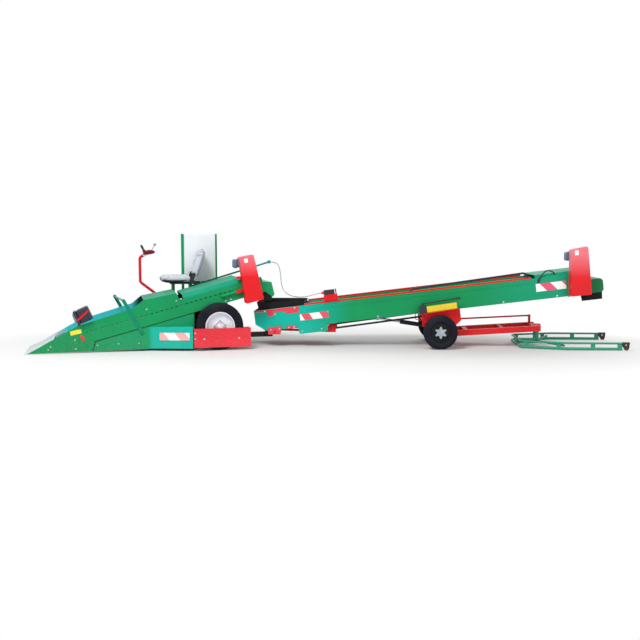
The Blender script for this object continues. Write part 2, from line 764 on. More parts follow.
@dataclass
class Wheels:
    """Tyre and hub dressing of one axle."""

    unit: Unit
    prefix: str
    x: float
    radius: float
    inner: float
    wide: float
    bead: float
    grooves: Tuple[float, ...]
    sides: Dict[str, int] = field(default_factory=lambda: {"left": -1, "right": 1})

    def tyre_outline(self) -> List[Tuple[float, float]]:
        """The tyre's cross-section as (radius, across), with rib grooves."""
        r, w, b = self.radius, self.wide, self.bead
        left = [(b, 0.014), (b + 0.02, 0.005), (r - 0.06, 0.0), (r - 0.03, 0.003), (r - 0.013, 0.010),
                (r - 0.003, 0.022)]
        tread = []
        for middle in self.grooves:
            tread += [(r, middle - 0.006), (r - 0.009, middle - 0.004), (r - 0.009, middle + 0.004),
                      (r, middle + 0.006)]
        right = [(radius, w - across) for radius, across in reversed(left)]
        return left + tread + right

    def build_tyres(self) -> None:
        """Turn both tyres in place of the plain solids."""
        for name, side in self.sides.items():
            shape = bmesh.new()
            outline = [(r, side * (self.inner + across)) for r, across in self.tyre_outline()]
            add_turned(shape, outline, (self.x, 0.0, self.radius), 96)
            mesh = to_mesh(self.prefix + "_tread", shape, PLACES[self.unit], True)
            node = f"{self.prefix}_tyre_{name}"
            new_piece(f"{self.prefix}_tyre_dressed_{name}", mesh, "tyre", f"{self.prefix}_wheel_{name}", node)

    def build_scoop_hubs(self, bolts: GeoTree) -> None:
        """Square hub plates with their nuts on the scoop's dished rims."""
        for name, side in self.sides.items():
            y = side * (self.inner + self.wide - 0.018)
            shape = bmesh.new()
            corner = turned(45)
            add_block(shape, (self.x, y, self.radius), (0.112, 0.012, 0.112), corner, 0.004)
            add_turned(shape, [(AXIS, y), (0.034, y), (0.034, y + side * 0.02), (0.026, y + side * 0.026),
                               (AXIS, y + side * 0.026)], (self.x, 0.0, self.radius), 32)
            mesh = to_mesh("hub_plate", shape, PLACES[self.unit])
            body = f"{self.prefix}_wheel_{name}"
            new_piece(f"scoop_hub_{name}", mesh, "rim", body)
            gasket = bmesh.new()
            add_block(gasket, (self.x, y - side * 0.005, self.radius), (0.126, 0.006, 0.126), corner, 0.002)
            new_piece(f"scoop_hub_seat_{name}", to_mesh("hub_seat", gasket, PLACES[self.unit]), "dark", body)
            spots = [((self.x + 0.054 * a, y + side * 0.006, self.radius + 0.054 * b), (0, side, 0))
                     for a, b in ((-1, 0), (1, 0), (0, -1), (0, 1))]
            BoltSet(f"scoop_hub_nuts_{name}", body, self.unit, spots, 0.011, 0.010).build(bolts)

    def build_star_hubs(self) -> None:
        """Six-pointed bright hub covers on the conveyor's black rims."""
        for name, side in self.sides.items():
            y = side * (self.inner + self.wide - 0.016)
            shape = bmesh.new()
            rings = []
            for depth, scale in ((0.0, 1.0), (side * 0.008, 0.96)):
                ring = []
                for point in range(STAR_POINTS):
                    for r, turn in STAR_CORNERS:
                        angle = 2 * math.pi * point / STAR_POINTS + turn
                        x, z = self.x + scale * r * math.cos(angle), self.radius + scale * r * math.sin(angle)
                        ring.append(shape.verts.new((x, y + depth, z)))
                rings.append(ring)
            bridge(shape, rings)
            shape.faces.new(rings[0])
            shape.faces.new(rings[1])
            add_turned(shape, [(AXIS, y), (0.03, y), (0.03, y + side * 0.014), (AXIS, y + side * 0.016)],
                       (self.x, 0.0, self.radius), 24)
            mesh = to_mesh("star_hub", shape, PLACES[self.unit])
            new_piece(f"conveyor_star_hub_{name}", mesh, "hub_grey", f"{self.prefix}_wheel_{name}")


@dataclass
class PowerCable:
    """Cable that hangs from the pole's end to the junction box."""

    diameter: float = 0.015
    length: float = 1.234

    def route(self) -> List[Vector]:
        """Control points of the cable, as in the part's source."""
        end, entry = on_conveyor(0.8947, 0.451), on_conveyor(0.805, 0.451)
        points = [(0.0243, 0.0, POLE_TOP), (0.098, -0.008, POLE_TOP), (0.158, -0.028, 1.136),
                  (0.180, -0.062, 1.010),
                  (0.192, -0.098, 0.880), (0.240, -0.158, 0.772), (0.360, -0.248, 0.716),
                  (0.500, -0.326, 0.708),
                  (0.632, -0.382, 0.734), (entry[0], 0.005 - CONVEYOR_HALF, entry[1]),
                  (end[0], 0.005 - CONVEYOR_HALF, end[1])]
        return [at(Unit.CONVEYOR, p) for p in points]

    def line(self, bevel: float) -> bpy.types.Mesh:
        """The route's smooth spline as a mesh: its bare line without a bevel, a closed tube with one."""
        points = self.route()
        curve = bpy.data.curves.new("power_cable_line", "CURVE")
        curve.dimensions = "3D"
        curve.bevel_depth = bevel
        curve.bevel_resolution = 4
        curve.use_fill_caps = True
        spline = curve.splines.new("NURBS")
        spline.points.add(len(points) - 1)
        for item, point in zip(spline.points, points):
            item.co = (*point, 1.0)
        spline.order_u = 3
        spline.use_endpoint_u = True
        spline.resolution_u = 10
        holder = bpy.data.objects.new("power_cable_line", curve)
        bpy.context.scene.collection.objects.link(holder)
        graph = bpy.context.evaluated_depsgraph_get()
        mesh = bpy.data.meshes.new_from_object(holder.evaluated_get(graph))
        bpy.data.objects.remove(holder)
        return mesh

    def build(self) -> None:
        """Lay the cable as one smooth tube that bends between the pole's end and the box."""
        path = [tuple(vert.co) for vert in self.line(0.0).vertices]
        mesh = self.line(self.diameter / 2)
        for polygon in mesh.polygons:
            polygon.use_smooth = True
        piece = bpy.data.objects.new("power_cable_dressed", mesh)
        bpy.context.scene.collection.objects.link(piece)
        mesh.materials.clear()
        mesh.materials.append(MATERIALS["cable"])
        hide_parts("power_cable")
        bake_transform(piece)
        LOG.info("power cable laid")


@dataclass(frozen=True)
class Pad:
    """One padded piece of the seat: its sizes, its place and its sewn fields."""

    name: str
    node: str
    size: Point
    place: Matrix
    fields: int
    nose: float
    shell: str


SHELL_STEPS = 64


@dataclass
class Seat:
    """Driver's seat: a cushion and a backrest, swollen by simulation, in dark shells with recliner discs."""

    across: float = 0.740
    voxel: float = 0.006
    pressure: float = 4.0
    cap: float = 0.022
    frames: int = 20
    keel: float = 0.95
    lean: float = 19.0

    def pads(self) -> List[Pad]:
        """The two pads in the row frame; local X runs from the front or top edge, Z to the sitter."""
        scoop = SCOOP
        low = scoop @ Matrix.Translation((-1.325, self.across, 0.938))
        lean = Matrix.Translation((-1.062, self.across, 0.905)) @ turned(self.lean)
        high = scoop @ lean @ Matrix.Translation((-0.006, 0, 0.300)) @ turned(-90)
        return [Pad("seat_cushion_pad", "seat_cushion", (0.470, 0.428, 0.080), low, 3, -1.0, "black"),
                Pad("seat_back_pad", "seat_backrest", (0.432, 0.405, 0.058), high, 3, 1.0, "grey_plastic")]

    def blank(self, pad: Pad) -> bpy.types.Mesh:
        """The pad before it is filled: a rounded block with a falling front edge and pulled-in sides.

        Args:
            pad: The pad's sizes.

        Returns:
            A closed mesh in the pad's own frame.
        """
        shape = bmesh.new()
        bmesh.ops.create_cube(shape, size=2.0)
        bmesh.ops.subdivide_edges(shape, edges=shape.edges[:], cuts=14, use_grid_fill=True)
        half = [value / 2 for value in pad.size]
        for vert in shape.verts:
            x, y, z = vert.co
            pull = 1.0 - 0.035 * (1 - abs(z)) - 0.045 * (abs(x) * abs(y)) ** 4
            front = max(0.0, x * pad.nose)
            drop = 0.45 * front ** 4 + 0.10 * abs(y) ** 6
            rise = self.keel * front ** 2.5
            shift = -drop * (1 + z) / 2 + rise * (1 - z) / 2
            vert.co = (x * half[0] * pull, y * half[1] * pull, (z + shift) * half[2])
        return to_mesh(pad.name, shape, Matrix.Identity(4))

    def fill(self, blank: bpy.types.Mesh) -> bpy.types.Mesh:
        """Swell a blank under inner pressure, its underside held, no point moving further than the cap.

        Args:
            blank: The closed mesh before filling.

        Returns:
            The filled mesh with one subdivision.
        """
        holder = bpy.data.objects.new("pad_blank", blank)
        scene = bpy.context.scene
        scene.collection.objects.link(holder)
        remesh = holder.modifiers.new("even", "REMESH")
        remesh.mode, remesh.voxel_size = "VOXEL", self.voxel
        even = bpy.data.meshes.new_from_object(holder.evaluated_get(bpy.context.evaluated_depsgraph_get()))
        bpy.data.objects.remove(holder)
        pillow = bpy.data.objects.new("pad_pillow", even)
        scene.collection.objects.link(pillow)
        start = [vert.co.copy() for vert in even.vertices]
        floor = min(point.z for point in start) + self.voxel
        held = pillow.vertex_groups.new(name="held")
        held.add([index for index, point in enumerate(start) if point.z < floor], 1.0, "REPLACE")
        cloth = pillow.modifiers.new("swell", "CLOTH")
        cloth.settings.use_pressure = True
        cloth.settings.uniform_pressure_force = self.pressure
        cloth.settings.vertex_group_mass = "held"
        cloth.settings.effector_weights.gravity = 0.0
        cloth.point_cache.frame_end = self.frames
        for number in range(1, self.frames + 1):
            scene.frame_set(number)
        swollen = pillow.evaluated_get(bpy.context.evaluated_depsgraph_get()).data
        moved = [vert.co.copy() for vert in swollen.vertices]
        pillow.modifiers.remove(cloth)
        for vert, first, last in zip(even.vertices, start, moved):
            way = last - first
            vert.co = first + way * min(1.0, self.cap / max(way.length, 1e-9))
        pillow.modifiers.new("smooth", "SUBSURF").levels = 1
        filled = bpy.data.meshes.new_from_object(pillow.evaluated_get(bpy.context.evaluated_depsgraph_get()))
        bpy.data.objects.remove(pillow)
        scene.frame_set(1)
        return filled

    def sew(self, mesh: bpy.types.Mesh, pad: Pad) -> None:
        """Press the sewn channels and the border seam into a filled pad."""
        half = [value / 2 for value in pad.size]
        moves = []
        for vert in mesh.vertices:
            x, y = vert.co.x / half[0], vert.co.y / half[1]
            edge = max(abs(x), abs(y))
            depth = 0.0
            if vert.co.z > 0 and edge < 0.93:
                phase = (x + 1) / 2 * pad.fields
                inner = 0 < round(phase) < pad.fields and abs(y) < 0.80
                depth = 0.010 * math.exp(-((phase - round(phase)) / 0.055) ** 2) if inner else 0.0
                depth = max(depth, 0.008 * math.exp(-((edge - 0.82) / 0.035) ** 2))
            moves.append(vert.normal * -depth)
        for vert, move in zip(mesh.vertices, moves):
            vert.co += move

    def shell(self, pad: Pad) -> None:
        """The dark moulded shell under a pad, a shallow tray with a rolled rim."""
        half = [value / 2 for value in pad.size]
        rings = ((0.72, -0.058), (0.90, -0.054), (0.990, -0.036), (1.015, -0.014), (1.0, -0.012),
                 (0.955, -0.030))
        shape = bmesh.new()
        made = []
        for scale, height in rings:
            ring = []
            for step in range(SHELL_STEPS):
                angle = 2 * math.pi * step / SHELL_STEPS
                a, b = math.cos(angle), math.sin(angle)
                spread = (abs(a) ** 5 + abs(b) ** 5) ** (-1 / 5)
                x = a * spread * scale
                front = max(0.0, x * pad.nose)
                lift = 0.72 * self.keel * half[2] * front ** 2.5
                ring.append(shape.verts.new((half[0] * x * (1 - 0.06 * front ** 2),
                                             half[1] * scale * b * spread, height + lift)))
            made.append(ring)
        bridge(shape, made)
        shape.faces.new(made[0])
        shape.faces.new(made[-1])
        add_piece(pad.node + "_shell", shape, pad.place, pad.shell, "scoop", smooth=True)

    def build(self) -> None:
        """Make both pads in place of the plain solids, then the shells and the recliner."""
        for pad in self.pads():
            mesh = self.blank(pad)
            mesh = self.fill(mesh)
            self.sew(mesh, pad)
            mesh.transform(pad.place)
            for polygon in mesh.polygons:
                polygon.use_smooth = True
            new_piece(pad.name, mesh, "vinyl", "scoop", pad.node)
            self.shell(pad)
        shape = bmesh.new()
        for side in (-1, 1):
            edge = self.across + side * 0.214
            add_bar(shape, (-1.085, edge, 0.915), (-1.085, edge + side * 0.022, 0.915), 0.038, 28)
            add_bar(shape, (-1.085, edge + side * 0.020, 0.915), (-1.085, edge + side * 0.028, 0.915), 0.020,
                    20)
            lean = turned(self.lean)
            add_block(shape, (-1.068, edge + side * 0.008, 0.965), (0.046, 0.012, 0.14), lean, 0.003)
        add_piece("seat_recliner", shape, SCOOP, "black", "scoop")


@dataclass
class ControlConsole:
    """Domed console on the control column with a boot lever and a slim knob lever."""

    centre: Point = (-1.705, 0.740, 1.345)
    size: Point = (0.176, 0.254, 0.066)
    tilt: float = -7.0

    def housing(self) -> bpy.types.Mesh:
        """A pressed cover: flat below, domed above, with drawn-in corners."""
        shape = bmesh.new()
        bmesh.ops.create_cube(shape, size=2.0)
        bmesh.ops.subdivide_edges(shape, edges=shape.edges[:], cuts=12, use_grid_fill=True)
        for vert in shape.verts:
            x, y, z = vert.co
            dome = 1.0 - 0.80 * abs(x) ** 2.2 - 0.25 * abs(y) ** 4 if z > 0 else 1.0 - 0.5 * max(0.0, x) ** 3
            corner = 1.0 - 0.05 * (abs(x) * abs(y)) ** 3
            vert.co = (x * self.size[0] / 2 * corner, y * self.size[1] / 2 * corner,
                       z * self.size[2] / 2 * dome)
        turn = Matrix.Translation(self.centre) @ turned(self.tilt)
        return to_mesh("control_housing", shape, SCOOP @ turn, True)

    def lever(self, name: str, foot: Point, way: Point, outline: Outline, finish: str) -> None:
        """A turned lever that stands on the console.

        Args:
            name: The piece's name.
            foot: Its foot, from the console's centre.
            way: The direction it leans to.
            outline: Radius and distance along the lever.
            finish: Key of its material.
        """
        shape = bmesh.new()
        add_turned(shape, outline, (0, 0, 0), 28)
        turn = aimed(way)
        place = SCOOP @ Matrix.Translation(Vector(self.centre) + Vector(foot)) @ turn
        add_piece(name, shape, place, finish, "scoop", smooth=True)

    def build(self) -> None:
        """Make the console in place of the plain solid."""
        new_piece("control_housing", self.housing(), "console_red", "scoop", "control_console")
        boot = [(AXIS, -0.02), (0.026, -0.02), (0.027, 0.004), (0.022, 0.016), (0.023, 0.022), (0.017, 0.034),
                (0.014, 0.044),
                (0.017, 0.056), (0.018, 0.080), (0.014, 0.104), (0.008, 0.116), (AXIS, 0.118)]
        self.lever("drive_lever", (-0.066, -0.060, 0.006), (-0.046, 0.0, 0.092), boot, "black")
        slim = [(AXIS, -0.02), (0.012, -0.02), (0.012, 0.010), (0.006, 0.014), (0.005, 0.088), (0.012, 0.094),
                (0.021, 0.106),
                (0.020, 0.124), (0.011, 0.134), (AXIS, 0.136)]
        self.lever("speed_lever", (0.040, 0.060, 0.012), (0.050, 0.0, 0.095), slim, "grey_plastic")


@dataclass
class BodyFittings:
    """Axle frame, panel seams, terminal rail and cable gland."""

    wheel: Tuple[float, float] = (-0.808, 0.330)
    inner: float = 0.450
    seam_front: float = -2.5402
    seam_rear: float = -1.180
    beam_below: float = -0.147

    def build_axle(self) -> None:
        """Axle with hangers cut away behind the wheels, down to the rail that carries the skirts."""
        u, z = self.wheel
        rear = u + 0.426
        outline = [(u - 0.192, 0.250), (rear, 0.250), (rear, 0.298), (u + 0.230, 0.298), (u + 0.170, 0.340)]
        outline += [(x, on_belt(x, 0.0)[1] - 0.110) for x in (u + 0.120, u - 0.192)]
        shape = bmesh.new()
        for side in (-1, 1):
            add_plate(shape, outline, side * (self.inner - 0.016), side * self.inner)
            add_bar(shape, (u, side * self.inner, z), (u, side * 0.586, z), 0.025, 32)
        add_bar(shape, (u, 0.016 - self.inner, z), (u, self.inner - 0.016, z), 0.035, 32)
        add_block(shape, (u, 0.0, z + 0.0375), (0.220, 0.180, 0.145), None, 0.006)
        add_piece("axle_frame", shape, SCOOP, "red", "scoop", "scoop_axle")

    def build_seams(self) -> None:
        """Dark sealing strips where the lower panels meet the side beams."""
        shape = bmesh.new()
        front, rear = on_belt(self.seam_front, self.beam_below), on_belt(self.seam_rear, self.beam_below)
        slope = Matrix.Rotation(-SCOOP_LEAN, 4, "Y")
        middle = Vector(((front[0] + rear[0]) / 2, 0.0, (front[1] + rear[1]) / 2 - 0.005))
        long = (Vector(rear) - Vector(front)).length
        for side in (-1, 1):
            edge = Vector((0, side * (SCOOP_HALF - 0.004), 0))
            add_block(shape, middle + edge, (long, 0.006, 0.009), slope, 0.001)
            start = [(self.seam_front, 0.022), (self.seam_front + 0.009, 0.022), (front[0] + 0.009, front[1]),
                     front]
            add_plate(shape, start, side * (SCOOP_HALF - 0.007), side * (SCOOP_HALF - 0.001))
        add_piece("panel_seams", shape, SCOOP, "rubber", "scoop")

    def build_terminals(self) -> None:
        """Dark terminal rail under the cabinet with its pale cable entries."""
        rail, caps = bmesh.new(), bmesh.new()
        add_block(rail, (-0.900, 1.012, 0.857), (0.410, 0.050, 0.046), None, 0.004)
        add_piece("terminal_rail", rail, SCOOP, "black", "scoop")
        for u, wide in ((-1.090, 0.024), (-0.895, 0.030), (-0.835, 0.044), (-0.735, 0.036)):
            add_block(caps, (u, 0.985, 0.857), (wide, 0.012, 0.036), None, 0.004)
            add_bar(caps, (u, 0.981, 0.857), (u, 0.972, 0.857), wide * 0.34, 16)
        add_piece("terminal_entries", caps, SCOOP, "label", "scoop")

    def build_gland(self) -> None:
        """Red gland where the power cable enters the junction box."""
        end, entry = on_conveyor(0.8947, 0.451), on_conveyor(0.855, 0.451)
        place = Vector((entry[0], 0.005 - CONVEYOR_HALF, entry[1]))
        way = Vector((end[0] - entry[0], 0.0, end[1] - entry[1]))
        outline = [(0.009, 0.0), (0.017, 0.0), (0.019, 0.006), (0.019, 0.022), (0.026, 0.024),
                   (0.027, 0.0392), (0.009, 0.0392)]
        shape = bmesh.new()
        add_turned(shape, outline, (0, 0, 0), 24)
        turn = Matrix.Translation(place) @ aimed(way)
        add_piece("cable_gland", shape, CONVEYOR @ turn, "knob", "conveyor")

    def build(self) -> None:
        """Make all four."""
        self.build_axle()
        self.build_seams()
        self.build_terminals()
        self.build_gland()


@dataclass
class CabinetDoor:
    """Door leaf, hinges and turn handle on the switch cabinet's outer face."""

    low: Point = (-1.150, 1.240, 0.880)
    high: Point = (-0.670, 1.240, 1.620)
    margin: float = 0.026

    def build(self) -> None:
        """Add the leaf with its folded rim, then the black hardware."""
        width, height = self.high[0] - self.low[0], self.high[2] - self.low[2]
        middle = ((self.low[0] + self.high[0]) / 2, self.low[1], (self.low[2] + self.high[2]) / 2)
        leaf = bmesh.new()
        size = (width - 2 * self.margin, 0.010, height - 2 * self.margin)
        add_block(leaf, middle, size, None, 0.003)
        add_block(leaf, (middle[0], middle[1] + 0.004, middle[2]), (size[0] - 0.06, 0.006, size[2] - 0.06),
                  None, 0.002)
        add_piece("cabinet_door", leaf, SCOOP, "white", "scoop")
        parts = bmesh.new()
        for share in (-0.36, 0.36):
            place = (self.low[0] + self.margin - 0.006, middle[1] + 0.004, middle[2] + share * height)
            add_bar(parts, (place[0], place[1], place[2] - 0.035), (place[0], place[1], place[2] + 0.035),
                    0.006, 14)
        grip = (self.high[0] - 0.075, middle[1] + 0.008, middle[2])
        add_bar(parts, grip, (grip[0], grip[1] + 0.006, grip[2]), 0.020, 24)
        add_block(parts, (grip[0], grip[1] + 0.008, grip[2] - 0.02), (0.016, 0.006, 0.075), None, 0.002)
        add_piece("cabinet_hardware", parts, SCOOP, "black", "scoop")


@dataclass
class GrabHandle:
    """Bent round bar on the near shoulder of the conveyor's head hood."""

    radius: float = 0.009
    points: Tuple[Point, ...] = ((3.856, -0.422, 0.960), (3.880, -0.436, 1.030), (3.930, -0.438, 1.092),
                                 (3.985, -0.436, 1.110),
                                 (4.050, -0.428, 1.094), (4.083, -0.402, 1.050))

    def build(self) -> None:
        """Sweep the bar and set a foot plate under its near end."""
        curve = bpy.data.curves.new("grab_handle_line", "CURVE")
        curve.dimensions = "3D"
        curve.bevel_depth = self.radius
        curve.bevel_resolution = 4
        curve.use_fill_caps = True
        spline = curve.splines.new("NURBS")
        spline.points.add(len(self.points) - 1)
        for item, point in zip(spline.points, self.points):
            item.co = (*at(Unit.CONVEYOR, point), 1.0)
        spline.order_u = 4
        spline.use_endpoint_u = True
        holder = bpy.data.objects.new("grab_handle_line", curve)
        bpy.context.scene.collection.objects.link(holder)
        mesh = bpy.data.meshes.new_from_object(holder.evaluated_get(bpy.context.evaluated_depsgraph_get()))
        bpy.data.objects.remove(holder)
        for polygon in mesh.polygons:
            polygon.use_smooth = True
        new_piece("grab_handle", mesh, "black", "conveyor")
        foot = bmesh.new()
        first = self.points[0]
        add_block(foot, (first[0], -CONVEYOR_HALF - 0.002, first[2] - 0.008), (0.034, 0.006, 0.060), None,
                  0.002)
        add_piece("grab_handle_foot", foot, CONVEYOR, "black", "conveyor")


@dataclass
class WorkLamp:
    """Square work lamp on the near side plate, held by a slanting strap."""

    centre: Point = (-2.652, -0.440, 0.518)
    size: Point = (0.212, 0.190, 0.200)
    tilt: float = -24.0
    strap_turn: float = -18.0
    bulge: float = 0.030

    def build(self) -> None:
        """Make housing, lens and strap in place of the plain solid."""
        turn = SCOOP @ Matrix.Translation(self.centre) @ turned(self.tilt)
        long, wide, high = self.size
        housing = bmesh.new()
        add_block(housing, (0.02, 0, 0), (long - 0.04, wide - 0.008, high - 0.008), None, 0.022)
        add_block(housing, (-long / 2 + 0.020, 0, 0), (0.034, wide, high), None, 0.010)
        for row in range(5):
            add_block(housing, (long / 2 - 0.010, 0, (row - 2) * 0.034), (0.018, wide - 0.05, 0.011), None,
                      0.003)
        add_piece("work_lamp_housing", housing, turn, "lamp_navy", "scoop", "work_lamp")
        lens = bmesh.new()
        bmesh.ops.create_cube(lens, size=2.0)
        bmesh.ops.subdivide_edges(lens, edges=lens.edges[:], cuts=12, use_grid_fill=True)
        for vert in lens.verts:
            x, y, z = vert.co
            dome = self.bulge * (1 - y * y) ** 0.6 * (1 - z * z) ** 0.6 if x < 0 else 0.0
            vert.co = (-long / 2 + 0.003 * x - dome, y * (wide / 2 - 0.014), z * (high / 2 - 0.014))
        add_piece("work_lamp_lens", lens, turn, "lens", "scoop", smooth=True)
        strap = bmesh.new()
        slant = turned(self.strap_turn)
        for side in (-1, 1):
            add_block(strap, (0.0, side * (wide / 2 + 0.002), 0.0), (0.190, 0.006, 0.026), slant, 0.002)
            bolt = slant @ Vector((0.075, side * (wide / 2 + 0.004), 0.0))
            add_bar(strap, bolt, bolt + Vector((0, side * 0.006, 0)), 0.009, 12)
        add_piece("work_lamp_strap", strap, turn, "red", "scoop")


FIN_COUNT = 28


@dataclass
class DriveMotor:
    """Finned electric motor behind a drive guard."""

    name: str
    body: str
    unit: Unit
    node: str
    centre: Tuple[float, float]
    outer: float
    start: float
    end: float

    def build(self, fins: GeoTree) -> None:
        """Make core, end bell, terminal box and fins in place of the plain solid.

        Args:
            fins: The cooling-fin tree.
        """
        x, z = self.centre
        core = self.outer - 0.014
        shape = bmesh.new()
        length = self.end - self.start
        outline = [(AXIS, self.start), (self.outer, self.start), (self.outer, self.start + 0.03),
                   (core, self.start + 0.034),
                   (core, self.end - 0.075), (self.outer - 0.003, self.end - 0.072),
                   (self.outer - 0.003, self.end - 0.02),
                   (self.outer - 0.022, self.end), (AXIS, self.end)]
        add_turned(shape, outline, (x, 0.0, z), 48)
        add_block(shape, (x - self.outer - 0.022, self.start + length * 0.42, z - 0.012),
                  (0.070, 0.150, 0.126), None, 0.026)
        add_piece(self.name, shape, PLACES[self.unit], "motor", self.body, self.node)
        place = PLACES[self.unit]
        points, facing, along = [], [], []
        middle = (self.start + 0.034 + self.end - 0.075) / 2
        for step in range(FIN_COUNT):
            angle = 2 * math.pi * step / FIN_COUNT
            way = Vector((math.cos(angle), 0, math.sin(angle)))
            points.append(place @ (Vector((x, middle, z)) + way * (core + 0.005)))
            facing.append(place.to_3x3() @ way)
            along.append(place.to_3x3() @ Vector((0, 1, 0)))
        values = {"Length": length - 0.112, "Depth": 0.014, "Thickness": 0.0035,
                  "Material": MATERIALS["motor"]}
        mesh = fins.apply(carrier(points, facing=facing, along=along), values)
        new_piece(self.name + "_fins", mesh, "motor", self.body)


@dataclass
class FlatSigns:
    """Striped warning panels and blank labels, thin sheets on the plates."""

    thick: float = 0.003

    def sheet(self, name: str, corner: Vector, right: Vector, up: Vector, finish: str, body: str) -> None:
        """One thin sheet from a corner and its two edge vectors, with a UV map in metres."""
        out = right.cross(up).normalized() * self.thick
        shape = bmesh.new()
        base = [corner, corner + right, corner + right + up, corner + up]
        verts = [shape.verts.new(p + shift) for shift in (Vector((0, 0, 0)), out) for p in base]
        for loop in ((3, 2, 1, 0), (4, 5, 6, 7), (0, 1, 5, 4), (1, 2, 6, 5), (2, 3, 7, 6), (3, 0, 4, 7)):
            shape.faces.new([verts[i] for i in loop])
        layer = shape.loops.layers.uv.new("UVMap")
        for face in shape.faces:
            for loop in face.loops:
                point = loop.vert.co - corner
                loop[layer].uv = (point.dot(right.normalized()), point.dot(up.normalized()))
        mesh = bpy.data.meshes.new(name)
        shape.to_mesh(mesh)
        shape.free()
        new_piece(name, mesh, finish, body)

    def build(self) -> None:
        """Put the panels where the photograph shows them, on both sides."""
        scoop, conveyor = SCOOP.to_3x3(), CONVEYOR.to_3x3()
        slope = Vector((0.612, -0.182, 0)).normalized()
        lean = Vector((math.cos(CONVEYOR_LEAN), 0, math.sin(CONVEYOR_LEAN)))
        square = Vector((-math.sin(CONVEYOR_LEAN), 0, math.cos(CONVEYOR_LEAN)))
        panels = ((0.512, 0.092, 0.408, 0.092, "stripes_tail"), (3.870, 0.112, 0.420, 0.112, "stripes_head"))
        for side, tag in ((-1, "left"), (1, "right")):
            along = Vector((slope.x, slope.y * -side, 0))
            out = Vector((-along.y, along.x, 0)) * 0.0015 * side
            start = Vector((-1.800, side * 0.452, 0.150)) + along * 0.17 + out
            right, corner = (along * 0.42, start) if side < 0 else (along * -0.42, start + along * 0.42)
            self.sheet("deflector_stripes_" + tag, at(Unit.SCOOP, corner), scoop @ right,
                       scoop @ Vector((0, 0, 0.105)), "stripes_pale", "scoop")
            for index, (s, t, long, high, finish) in enumerate(panels):
                x, z = on_conveyor(s, t)
                corner, right = Vector((x, side * CONVEYOR_HALF, z)), lean * long
                if side > 0:
                    corner, right = corner + right, -right
                self.sheet(f"conveyor_stripes_{index}_{tag}", at(Unit.CONVEYOR, corner), conveyor @ right,
                           conveyor @ (square * high), finish, "conveyor")
        labels = (("scoop_guard_label", Unit.SCOOP, (-0.4586, -SCOOP_HALF - 0.160, 1.213), (0.050, 0, 0.009),
                   (-0.012, 0, 0.055), "label", "scoop"),
                  ("conveyor_guard_label", Unit.CONVEYOR, (4.309, -CONVEYOR_HALF - 0.170, 1.318),
                   (0.052, 0, 0.010),
                   (-0.008, 0, 0.066), "label", "conveyor"),
                  ("nose_label", Unit.SCOOP, (-2.8165, -SCOOP_HALF, 0.243), (0.1435, 0, 0.031),
                   (-0.009, 0, 0.056),
                   "sticker", "scoop"))
        for name, unit, corner, right, up, finish, body in labels:
            turn = PLACES[unit].to_3x3()
            self.sheet(name, at(unit, corner), turn @ Vector(right), turn @ Vector(up), finish, body)

    def build_reflector(self) -> None:
        """The red oval reflector below the nose label: a rimmed base and a domed lens."""
        shape = bmesh.new()
        outline = [(AXIS, -0.013), (0.55, -0.0115), (0.82, -0.008), (0.90, -0.004), (1.0, -0.005), (1.0, 0.0),
                   (AXIS, 0.0)]
        add_turned(shape, outline, (0, 0, 0), 40)
        lean = turned(-27)
        place = Matrix.Translation((-2.665, -SCOOP_HALF, 0.2035)) @ lean @ Matrix.Diagonal((0.0215, 1.0,
                                                                                            0.048, 1.0))
        mesh = to_mesh("nose_reflector", shape, SCOOP @ place, True)
        new_piece("nose_reflector", mesh, "knob", "scoop")


PLATE_BOLT = (0.007, 0.004)
SKIRT_BOLT = (0.008, 0.004)
CONVEYOR_BOLT = (0.008, 0.005)
CHASSIS_BOLT = (0.011, 0.007)


